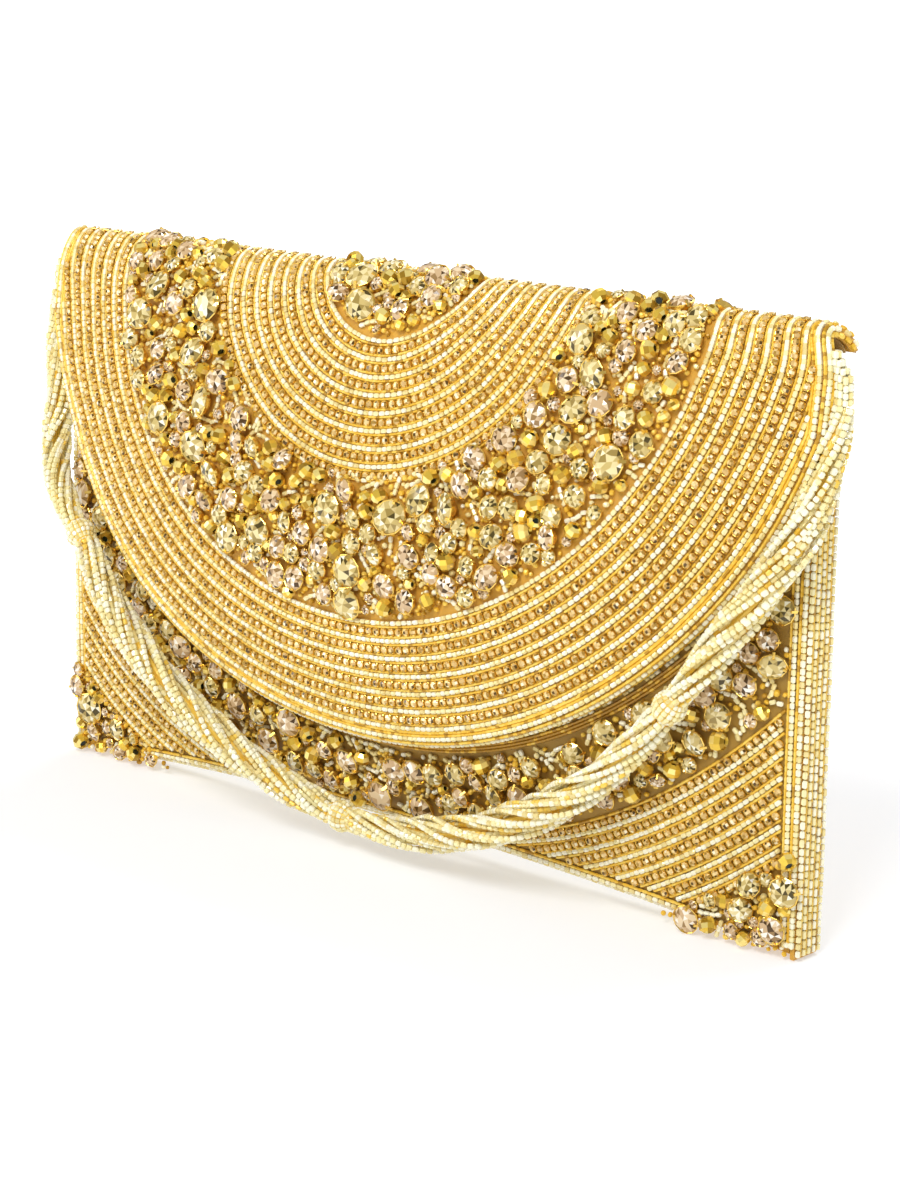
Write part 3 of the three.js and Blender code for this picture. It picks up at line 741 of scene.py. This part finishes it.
# ---- camera
CAMERA_DISTANCE, CAMERA_ACROSS, CAMERA_UP = 811.68, 9.758, -12.019
AZ, EL, ROLL = math.radians(42.48), math.radians(13.25), math.radians(0.764)
forward = Vector((-math.sin(AZ) * math.cos(EL), math.cos(AZ) * math.cos(EL), -math.sin(EL)))
level = Vector((math.cos(AZ), math.sin(AZ), 0))
above = level.cross(forward)
right = level * math.cos(ROLL) + above * math.sin(ROLL)
up = above * math.cos(ROLL) - level * math.sin(ROLL)
target = Vector((0, MIDDLE_Y, 80)) + level * CAMERA_ACROSS + above * CAMERA_UP
camera = bpy.data.objects.new("camera", bpy.data.cameras.new("camera"))
camera.matrix_world = Matrix((right, up, -forward)).transposed().to_4x4()
camera.location = (target - forward * CAMERA_DISTANCE) / 1000
camera.data.sensor_fit = "HORIZONTAL"
camera.data.sensor_width = 36
camera.data.lens = 121.36
camera.data.clip_start = 0.01
bpy.context.scene.collection.objects.link(camera)
bpy.context.scene.camera = camera

# ---- strap
# The middle line of the rope, as in the CAD part.
ROUTE = [
    (-139.4, -3, 138), (-141, -2.8, 131), (-142.2, -3, 122.5), (-141.2, -3.2, 113),
    (-139.4, -4.4, 104.4), (-138.6, -6.4, 97.4), (-136.8, -8.8, 91.6), (-133.4, -11.4, 86.8),
    (-128.6, -14.4, 82.4), (-121.8, -17.2, 77), (-113, -19.8, 71.4), (-102.4, -22.7, 62),
    (-93, -23.7, 51.6), (-82, -23.9, 41.6), (-69.5, -23.8, 33), (-55, -22.9, 25),
    (-39, -21.6, 18), (-23, -20.2, 12.8), (-7.5, -19, 9.4), (8, -19, 9.2),
    (22, -19.7, 11.2), (38, -20.7, 15.4), (54, -22, 21.6), (69, -23.1, 29.4),
    (82.5, -23.6, 38.4), (94.6, -23.3, 49.6), (105.8, -22.4, 62.6), (113, -21.6, 72.2),
    (119.6, -20.4, 81.2), (125.6, -18.5, 89.6), (130.4, -16.3, 97.6), (134.2, -13.8, 104.8),
    (136.6, -11, 112), (137.9, -8.6, 119), (138.4, -6.6, 125), (139, -4.6, 131),
    (139.4, -3, 138),
]
BALL_STOPS = (10, 18, 26)  # the route's points with a ball on them
BALL_CLEAR = 3  # the strands stop this far from a ball's middle, inside it
STRANDS, INNER_STRANDS = 14, 5
TWIST = 85  # the rope's length to one turn of its strands
SWELL = (1.9, 2.7, 2.7, 2.5)  # how much each stretch between two balls swells


def catmull(points, per=24):
    """A smooth line through the points, with the place of each point along it."""
    p = np.array(points, float)
    p = np.vstack([2 * p[0] - p[1], p, 2 * p[-1] - p[-2]])
    line, marks = [], [0]
    for i in range(1, len(p) - 2):
        t = np.linspace(0, 1, per, endpoint=False)[:, None]
        line.append(0.5 * (2 * p[i] + (p[i + 1] - p[i - 1]) * t
                           + (2 * p[i - 1] - 5 * p[i] + 4 * p[i + 1] - p[i + 2]) * t ** 2
                           + (3 * p[i] - p[i - 1] - 3 * p[i + 1] + p[i + 2]) * t ** 3))
        marks.append(i * per)
    line.append(p[-2][None])
    return np.concatenate(line), marks


rope_line, rope_marks = catmull(ROUTE)
rope_run = np.concatenate([[0], np.cumsum(np.linalg.norm(np.diff(rope_line, axis=0), axis=1))])
ROPE_LENGTH = float(rope_run[-1])
ball_at = [float(rope_run[rope_marks[k]]) for k in BALL_STOPS]


def rope_point(s):
    return np.stack([np.interp(s, rope_run, rope_line[:, k]) for k in range(3)], -1)


def rope_frame(s):
    """Points along the rope's middle line, its direction, and two directions square to it."""
    along = unit(rope_point(s + 1.5) - rope_point(s - 1.5))
    out = unit(np.array([0.0, -1.0, 0.0]) + along * along[:, 1:2])
    return rope_point(s), along, out, np.cross(along, out)


def rope_reach(s):
    """Distance of the strands from the rope's middle line: they draw together at each ball and end."""
    stops = np.array([0.0, *ball_at, ROPE_LENGTH])
    k = np.clip(np.searchsorted(stops, s) - 1, 0, len(stops) - 2)
    part = (s - stops[k]) / (stops[k + 1] - stops[k])
    most = np.array(SWELL)[k]
    swell = 1.8 + most * np.clip(np.sin(np.pi * part), 0, 1) ** 0.4
    end = np.minimum(s, ROPE_LENGTH - s)
    return swell * (0.86 + 0.14 * smooth(end / 42))


def strap_strand(s, lane, lanes, share):
    """The place of one strand of beads in the rope, at distances s along it."""
    swell = rope_reach(s)
    # Every second strand sinks in where the rope is thin.
    depth = 1.0 if lane % 2 else 0.5 + 0.42 * smooth((swell - 1.7) / 1.8)
    twist = s * 2 * np.pi / TWIST + lane * 2 * np.pi / lanes + 0.2 * np.sin(s / 15 + lane * 2.1)
    reach = swell * depth * share * (1 + 0.1 * np.sin(s / 8 + lane * 1.7))
    at, _, out, side = rope_frame(s)
    return at + (out * np.cos(twist)[:, None] + side * np.sin(twist)[:, None]) * reach[:, None]


def add_strand(batch, bead, mid, lane, lanes, scale, look, share=1.0):
    """The beads of one strand, with their middles at distances mid along the rope."""
    at = strap_strand(mid, lane, lanes, share)
    x = unit(strap_strand(mid + 0.4, lane, lanes, share) - strap_strand(mid - 0.4, lane, lanes, share))
    y = unit(np.cross(unit(at - rope_point(mid)), x))
    batch.add(bead, at, x, y, np.cross(x, y), scale, look)


def add_heart(batch):
    """The gold core that fills the middle of the rope."""
    m = 12
    s = np.linspace(0.4, ROPE_LENGTH - 0.4, 300)
    at, _, out, side = rope_frame(s)
    around = np.arange(m) * 2 * np.pi / m
    wide = np.maximum(rope_reach(s) * 0.34, 1.0)[:, None] * (1 + 0.08 * np.cos(3 * around + s[:, None] / 4))
    turn = around + s[:, None] * 2 * np.pi / TWIST
    ring = (at[:, None, :] + out[:, None, :] * (wide * np.cos(turn))[..., None]
            + side[:, None, :] * (wide * np.sin(turn))[..., None])
    verts = np.concatenate([ring.reshape(-1, 3), at[:1], at[-1:]])
    faces = tube_faces(len(s), m)
    last = (len(s) - 1) * m
    for i in range(0, m, 2):
        faces.append([len(verts) - 2, (i + 2) % m, i + 1, i])
        faces.append([len(verts) - 1, last + i, last + i + 1, last + (i + 2) % m])
    batch.add_raw(verts, faces, S_GOLD)


def make_strap():
    batch = Batch()
    add_heart(batch)
    for lane in range(INNER_STRANDS):
        mid, size = cut_row(0.5, ROPE_LENGTH - 0.5, 1.7, 2.3)
        look = pick([3, 3, 2, 1], S_WHITE + 1)
        add_strand(batch, THREAD, mid, lane, INNER_STRANDS, stack(size, 0.8, 0.8), look, 0.55)
    for lane in range(STRANDS):
        mid, size = cut_row(0.3, ROPE_LENGTH - 0.3, 1.5, 2.1)
        keep = np.ones(len(mid), bool)
        for s in ball_at:
            keep &= (mid < s - BALL_CLEAR) | (mid > s + BALL_CLEAR)
        mid, size = mid[keep], size[keep]
        r, weights = (0.62, [1, 2, 5, 2]) if lane % 5 == 2 else (0.76, [5, 4, 1])
        add_strand(batch, CUT_BEAD, mid, lane, STRANDS, stack(size * 0.92, r, r), pick(weights, S_WHITE))
    return batch.finish("strap_strands", "strap", "pale_beads",
                        "strap_run_1", "strap_run_2", "strap_run_3", "strap_run_4")


def spokes(n, u, v):
    """Directions all round, in the plane of u and v."""
    return [u * math.cos(turn) + v * math.sin(turn) for turn in np.arange(n) * 2 * np.pi / n]


def make_ball(number, s):
    """A ball wound with close ribs of small beads, with a gold collar at each end."""
    at, along, out, side = (v[0] for v in rope_frame(np.array([s])))
    core = lathe([(1.6, -4.2), (3.1, -2.9), (3.9, 0), (3.1, 2.9), (1.6, 4.2)], 14, "x")
    batch = Batch()
    batch.add(core, at[None], along[None], out[None], side[None], 1.0, pick([1], S_GOLD))
    lat = np.radians(np.linspace(-62, 62, 7))
    for spoke in spokes(16, out, side):
        z = np.sin(lat)[:, None] * along + np.cos(lat)[:, None] * spoke
        x = np.cos(lat)[:, None] * along - np.sin(lat)[:, None] * spoke
        scale = stack(1.3, 0.2 + 0.5 * np.cos(lat), 0.5)
        batch.add(CUT_BEAD, at + 3.95 * z, x, np.cross(z, x), z, scale, pick([4, 4, 1], S_WHITE))
    for end in (-1, 1):
        for spoke in spokes(10, out, side):
            p = at + along * end * 4.3 + spoke * 2.2
            batch.add(ROUND_BEAD, p[None], np.cross(along, spoke)[None], along[None], spoke[None], 0.62,
                      GOLD_LOOK)
    return batch.finish(f"strap_ball_{number}_wound", "strap", "pale_beads", f"strap_ball_{number}")


def make_cap(node, sign):
    """The strands' end, drawn together and bent in under the flap."""
    batch = Batch()
    middle = np.array([sign * 139.2, -3.0, 0])
    for spoke in spokes(8, np.array([1.0, 0.0, 0.0]), np.array([0.0, 1.0, 0.0])):
        mid, size = cut_row(137.9, 150.6, 1.5, 2.0)
        reach = 1.7 - 0.6 * smooth((mid - 143.5) / 6)
        lean = -sign * 3.4 * smooth((mid - 143) / 8)
        at = middle + spoke * reach[:, None] + stack(lean, 0, mid)
        x = np.tile([0.0, 0.0, 1.0], (len(mid), 1))
        z = np.tile(spoke, (len(mid), 1))
        batch.add(CUT_BEAD, at, x, np.cross(z, x), z, stack(size * 0.96, 0.7, 0.7), WHITE_LOOK)
    return batch.finish(node + "_wound", "strap", "pale_beads", node)


strap = make_strap()
caps = [make_cap("strap_cap_left", -1), make_cap("strap_cap_right", 1)]
balls = [make_ball(i + 1, s) for i, s in enumerate(ball_at)]
path = [tuple(p) for p in to_world(np.concatenate([rope_line[::8], rope_line[-1:]]))]
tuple(path[0])


# ---- pouch cloth
def stand_for(sheet, node):
    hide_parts(node)


SATIN_LAYER, LINING_LAYER, MOUTH_Z, BACK_TOP = (-0.5, 0.0), (-3.0, -2.7), 140, 148.7
# The front's satin is the darker copy, with painted shade from the flap.
for name, node, depth, sign, layer, top, material, slot in (
    ("front_satin", "front_shell", front_depth, -1, SATIN_LAYER, MOUTH_Z, shaded_satin, "satin"),
    ("back_satin", "back_shell", back_depth, 1, SATIN_LAYER, BACK_TOP, satin, "satin"),
    ("front_inner_cloth", "front_lining", front_depth, -1, LINING_LAYER, MOUTH_Z, lining_cloth,
     "lining_cloth"),
    ("back_inner_cloth", "back_lining", back_depth, 1, LINING_LAYER, BACK_TOP, lining_cloth,
     "lining_cloth"),
):
    stand_for(panel_sheet(name, depth, sign, layer, top, material), node)
for name, node, layer, radius, half, material, slot in (
    ("flap_satin", "flap_shell", (2.2, 2.6), 140.7, 135.8, satin, "satin"),
    ("flap_inner_cloth", "flap_lining", (0.0, 0.3), 139.5, 134.4, lining_cloth, "lining_cloth"),
):
    stand_for(flap_sheet(name, layer, radius, half, material), node)


# ---- bead fields
def on_flap(a, b):
    return (b > -BACK_RUN + 0.6) & (np.abs(a) < FLAP_HALF - 3) & (np.hypot(a, b) < FLAP_R)


def on_front(a, b):
    z = front_z(b)
    return (np.abs(a) < PANEL_HALF - 2.9) & (z > seam_z(a) + 3.1) & (z < 138)


def on_back(a, b):
    z = back_z(b)
    return (np.abs(a) < PANEL_HALF - 0.4) & (z > seam_z(a) + 2.6) & (z < HINGE_Z - 1.2)


def band(low, high, where):
    def inside(a, b, margin=0.0):
        r = np.hypot(a, b)
        return where(a, b) & (r > low + margin) & (r < high - margin)
    return inside


def edge_line(inset):
    """The line that runs down one side of the flap, round its curve and up the other side."""
    half, r = FLAP_HALF - inset, FLAP_R - inset
    corner = math.acos(half / r)
    down = np.linspace(-BACK_RUN + 0.4, r * math.sin(corner), 24)
    turn = np.linspace(corner, math.pi - corner, 90)[1:-1]
    a = np.concatenate([np.full(24, half), r * np.cos(turn), np.full(24, -half)])
    return a, np.concatenate([down, r * np.sin(turn), down[::-1]])


HALVES = (("left", -1), ("right", 1))

# The flap.
OUTER_WHITES = [105.9 + k * PERIOD for k in range(6)]
batch = Batch()
row_field(batch, flap_cloth, on_flap, [28.2 + k * 4.9 for k in range(8)], 4.9)
batch.finish("flap_inner_row_beads", "flap", "bead_work", "flap_inner_rows")
batch = Batch()
row_field(batch, flap_cloth, on_flap, OUTER_WHITES[:3])
batch.finish("flap_outer_row_beads", "flap", "bead_work", "flap_outer_rows")
batch = Batch()
row_field(batch, flap_cloth, on_flap, OUTER_WHITES[3:])
ring_row(batch, flap_cloth, 136.8, on_flap, "white")
ring_row(batch, flap_cloth, 137.7, on_flap, "gold")
for inset, kind, r in ((1.1, "white", 0.66), (2.1, "gold", 0.46), (3.0, "gold", 0.46)):
    line_row(batch, flap_cloth, *edge_line(inset), r, kind, r)
EDGE = edge_line(0)
for out, kind, r, push in ((-0.6, "white", 0.72, 0.8), (-2.0, "gold", 0.72, 0.8), (0.3, "gold", 0.5, 0.2)):
    line_row(batch, flap_cloth, *EDGE, out, kind, r, push)
batch.finish("flap_edge_row_beads", "flap", "bead_work")
batch = Batch()
crystal_field(batch, flap_cloth, band(BAND_IN - 0.5, BAND_OUT + 0.6, on_flap), ((-104, -6), (104, 104)),
              DENSE, 11, 110)
batch.finish("flap_band_crystals", "flap", "crystal_work", "flap_crystal_band")
batch = Batch()
crystal_field(batch, flap_cloth, band(0, CENTRE_R + 0.6, on_flap), ((-27, -6), (27, 27)), DENSE, 9, 110)
batch.finish("flap_middle_crystals", "flap", "crystal_work", "flap_centre_crystals")

# The front of the pouch.
batch = Batch()
below_flap = lambda a, b: on_front(a, b) & (front_z(b) < 118)
# Rows under the flap's edge: thinned white dashes, and gold rows in the deep shades as painted shade from the
# flap.
for r in (126, 130, 134, 138, 142):
    for step, kind in ((0, "dashed"), (1.2, "deep"), (2.1, "deep"), (3.0, "deep")):
        ring_row(batch, front_cloth, r + step, below_flap, kind)
batch.finish("front_edge_row_beads", "pouch", "bead_work", "front_edge_rows")
batch = Batch()
crystal_field(batch, front_cloth, band(146, 168.4, on_front), ((-131, 60), (131, 168)), SPARSE, 24, 115)
batch.finish("front_band_crystals", "pouch", "crystal_work", "front_crystal_band")
for name, side in HALVES:
    batch = Batch()
    half = lambda a, b: on_front(a, b) & (a * side > 0)
    inner = lambda a, b: half(a, b) & (np.hypot(a, b) < 199)
    ring_row(batch, front_cloth, 169.4, half, "gold")
    ring_row(batch, front_cloth, 170.9, half, "chain")
    for r in (172.4, 176.9, 181.7, 186.4, 191.4, 196.4):
        for step, kind in ((0, "white"), (1.05, "gold"), (2.45, "chain"), (3.8, "gold")):
            ring_row(batch, front_cloth, r + step, inner, kind)
    batch.finish(f"front_row_beads_{name}", "pouch", "bead_work", f"front_rows_{name}")
    batch = Batch()
    corner = lambda a, b, margin=0.0: (np.hypot(a, b) > 198 + margin) & (a * side > 90) & (a * side < 131) & (
        front_z(b) > np.maximum(seam_z(a) - 3.4, 0.9) + margin)
    box = ((90, 140), (131, 179)) if side > 0 else ((-131, 140), (-90, 179))
    crystal_field(batch, front_cloth, corner, box, DENSE, 4, 110, lift=0.8)
    batch.finish(f"corner_crystal_beads_{name}", "pouch", "crystal_work", f"corner_crystals_{name}")

# The border of the front: up both sides and along the hem.
UPRIGHTS = ((129.9, 0.66, "white", 0.66), (128.8, 0.42, "gold", 0.46),
            (130.95, 0.46, "gold", 0.5), (132.0, 0.5, "white", 0.7))
batch = Batch()
for side in (-1, 1):
    b = front_b(np.linspace(3, 117, 60))
    for a, out, kind, r in UPRIGHTS:
        line_row(batch, front_cloth, side * a, b, out, kind, r)
hem = np.linspace(-103, 103, 120)
line_row(batch, front_cloth, hem, front_b(seam_z(hem) + 0.9), 0.5, "white")
line_row(batch, front_cloth, hem, front_b(seam_z(hem) + 2.0), 0.42, "gold", 0.46)
batch.finish("front_border_beads", "pouch", "bead_work")


def base_cloth(a, b, o):
    """The underside: b goes from 0 at the front seam to 1 at the back."""
    z = seam_z(a)
    front = front_depth(a, z)
    return stack(a, -front + b * (front + back_depth(a, z)), z - o)


batch = Batch()
for k in range(5):
    line_row(batch, base_cloth, hem, 0.1 + 0.2 * k, 0.6, "white")
    if k < 4:
        line_row(batch, base_cloth, hem, 0.2 + 0.2 * k, 0.4, "gold", 0.5)
batch.finish("base_row_beads", "pouch", "bead_work")

# The back: two halves, each in three groups of rings.
BACK_RINGS = [12.75 + k * PERIOD for k in range(37)]
BACK_GROUPS = (("inner", BACK_RINGS[:15]), ("middle", BACK_RINGS[15:23]), ("outer", BACK_RINGS[23:]))
for name, side in HALVES:
    half = lambda a, b: on_back(a, b) & (a * side >= -0.1)
    for group, rings in BACK_GROUPS:
        batch = Batch()
        row_field(batch, back_cloth, half, rings, stones=False)
        if group == "inner":
            line_row(batch, back_cloth, np.linspace(0.3, 130.6, 60) * side, BACK_RUN + 1.0, 0.5, "white")
        if group == "outer":
            a = np.linspace(0.3, 103, 60) * side
            line_row(batch, back_cloth, a, back_z(seam_z(a)) - 1.4, 0.5, "white")
            line_row(batch, back_cloth, side * 131.7, back_z(np.linspace(3, 147.5, 70)), 0.5, "white")
        stands_for = ["back_rows"] if (name, group) == ("left", "inner") else []
        batch.finish(f"back_{group}_row_beads_{name}", "pouch", "bead_work", *stands_for)

# The sides.
for name, side in HALVES:
    batch, cloth = Batch(), side_cloth(side)
    for k in range(5):
        y = -4.1 + 2.1 * k
        mid, size = cut_row(1.0, 139.6, 1.6, 2.4)
        frames = place(cloth, y + 0.12 * np.sin(mid / 7 + k), mid, 0.0, 1.0, 0.72)
        batch.add(CUT_BEAD, *frames, stack(size * 0.87, 0.68, 0.68), WHITE_LOOK)
        if k < 4:
            mid, size = cut_row(1.0, 139.6, 1.3, 1.6)
            frames = place(cloth, y + 1.05, mid, 0.0, 1.0, 0.5)
            batch.add(THREAD, *frames, stack(size * 1.02, 0.5, 0.5), GOLD_LOOK)
    batch.finish(f"gusset_row_beads_{name}", "pouch", "pale_beads", f"gusset_beads_{name}")


# ---- bindings and creases
def oval(wide, high, n=12):
    return [(wide * math.cos(t), high * math.sin(t)) for t in np.arange(n) * 2 * math.pi / n]


# The satin that wraps the flap's free edge, from its lining to its face.
run = line_length(*EDGE)
s = np.linspace(0, run[-1], 260)
da, db = (np.interp(s + 1, run, v) - np.interp(s - 1, run, v) for v in EDGE)
at, _, across, out = place(flap_cloth, *(np.interp(s, run, v) for v in EDGE), da, db, -1.3)
sweep("flap_edge_binding", at, across, out, oval(0.75, 1.42), satin, "flap")
# The satin over the top edge of the front panel.
x = np.linspace(-PANEL_HALF, PANEL_HALF, 90)
at = stack(x, -(front_depth(x, 139.9) - 1.5), 139.9)
sweep("mouth_binding", at, stack(0 * x, 1, 0), stack(0 * x, 0, 1), oval(1.75, 0.8), satin, "pouch")


CREASE_LOW, CREASE_HIGH = 145.5, -2.5


def crease(name, offset, thick, material):
    """The cloth that joins the back of the pouch to the flap, and bends where the flap turns."""
    on_pouch = [CREASE_LOW, (CREASE_LOW + HINGE_Z) / 2, HINGE_Z - 0.2]
    on_top = [-BACK_RUN + 0.3, -BACK_RUN + 1.5, -BACK_RUN + 3, CREASE_HIGH]

    def face(o):
        def at(u, v):
            x = u[0] * (PANEL_HALF - 0.4)
            return np.stack([back_cloth(x, back_z(z), o) for z in on_pouch]
                            + [flap_cloth(x, b, o) for b in on_top])
        return at

    levels = np.arange(len(on_pouch) + len(on_top))
    obj = grid_slab(name, face(offset), face(offset + thick), np.linspace(-1, 1, 61), levels, material)
    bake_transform(obj)


crease("crease_satin", 0.05, 0.2, satin)
crease("crease_lining", -2.95, 0.2, lining_cloth)

# ---- CAD pieces that stay
LOOKS = {"satin": satin, "lining_cloth": lining_cloth, "stiffener": board_stock, "gold_metal": gold_plate}
slot_of = {item["node"]: item["material_slot"] for item in frame["record"]["subparts"]}
for node, obj in frame["nodes"].items():
    look = LOOKS.get(slot_of.get(node))
    if look is not None:
        for material_slot in obj.material_slots:
            material_slot.material = look

# ---- floor, light, sky
WHITE_LIGHT = (1, 1, 1, 1)
FLOOR_HALF = 6
floor_mesh = bpy.data.meshes.new("floor")
floor_mesh.from_pydata([(x * FLOOR_HALF, y * FLOOR_HALF, 0) for x, y in ((-1, -1), (1, -1), (1, 1), (-1, 1))],
                       [], [(0, 1, 2, 3)])
floor = bpy.data.objects.new("floor", floor_mesh)
bpy.context.scene.collection.objects.link(floor)
# White paper, with a glow that grows away from the purse as on an evenly lit studio table.
floor_white = principled("floor_white", (0.6, 0.612, 0.64), 0.9, 0.0, {
    "Specular IOR Level": 0.1, "Emission Color": WHITE_LIGHT})
tree = floor_white.node_tree
where = add_node(tree, "TexCoord", {}, "Object")
away = add_node(tree, "VectorMath", {0: where}, "Value", operation="LENGTH")
glow = add_node(tree, "MapRange", {
    "Value": away, "From Min": 0.16, "From Max": 0.8, "To Min": 0.45, "To Max": 1.1})
feed(tree, tree.nodes["Principled BSDF"], {"Emission Strength": glow})
floor_mesh.materials.append(floor_white)


def area_light(name, at, aim, size, power):
    light = bpy.data.lights.new(name, "AREA")
    light.shape = "RECTANGLE"
    light.size, light.size_y = size
    light.energy = power
    obj = bpy.data.objects.new(name, light)
    obj.location = at
    obj.rotation_euler = (Vector(aim) - Vector(at)).to_track_quat("-Z", "Y").to_euler()
    bpy.context.scene.collection.objects.link(obj)


area_light("key", (0.4, -1.0, 1.1), (0, 0, 0.08), (0.5, 0.5), 12)
area_light("fill", (-1.0, -0.8, 0.7), (0, 0, 0.08), (0.5, 0.6), 4.5)
area_light("rim", (0.0, 0.6, 1.1), (0, 0, 0.1), (0.9, 0.4), 6.5)

# A soft white sky that lights the purse, with a brighter one behind it for the camera.
world = bpy.data.worlds.new("studio")
bpy.context.scene.world = world
world.use_nodes = True
tree = world.node_tree
sky = tree.nodes["Background"]
feed(tree, sky, {"Color": WHITE_LIGHT, "Strength": 0.42})
backdrop = add_node(tree, "Background", {"Color": WHITE_LIGHT, "Strength": 1.1})
seen = add_node(tree, "LightPath", {}, "Is Camera Ray")
either = add_node(tree, "MixShader", {"Fac": seen, 1: sky.outputs["Background"], 2: backdrop})
feed(tree, tree.nodes["World Output"], {"Surface": either})
bpy.context.scene.view_settings.view_transform = "Standard"
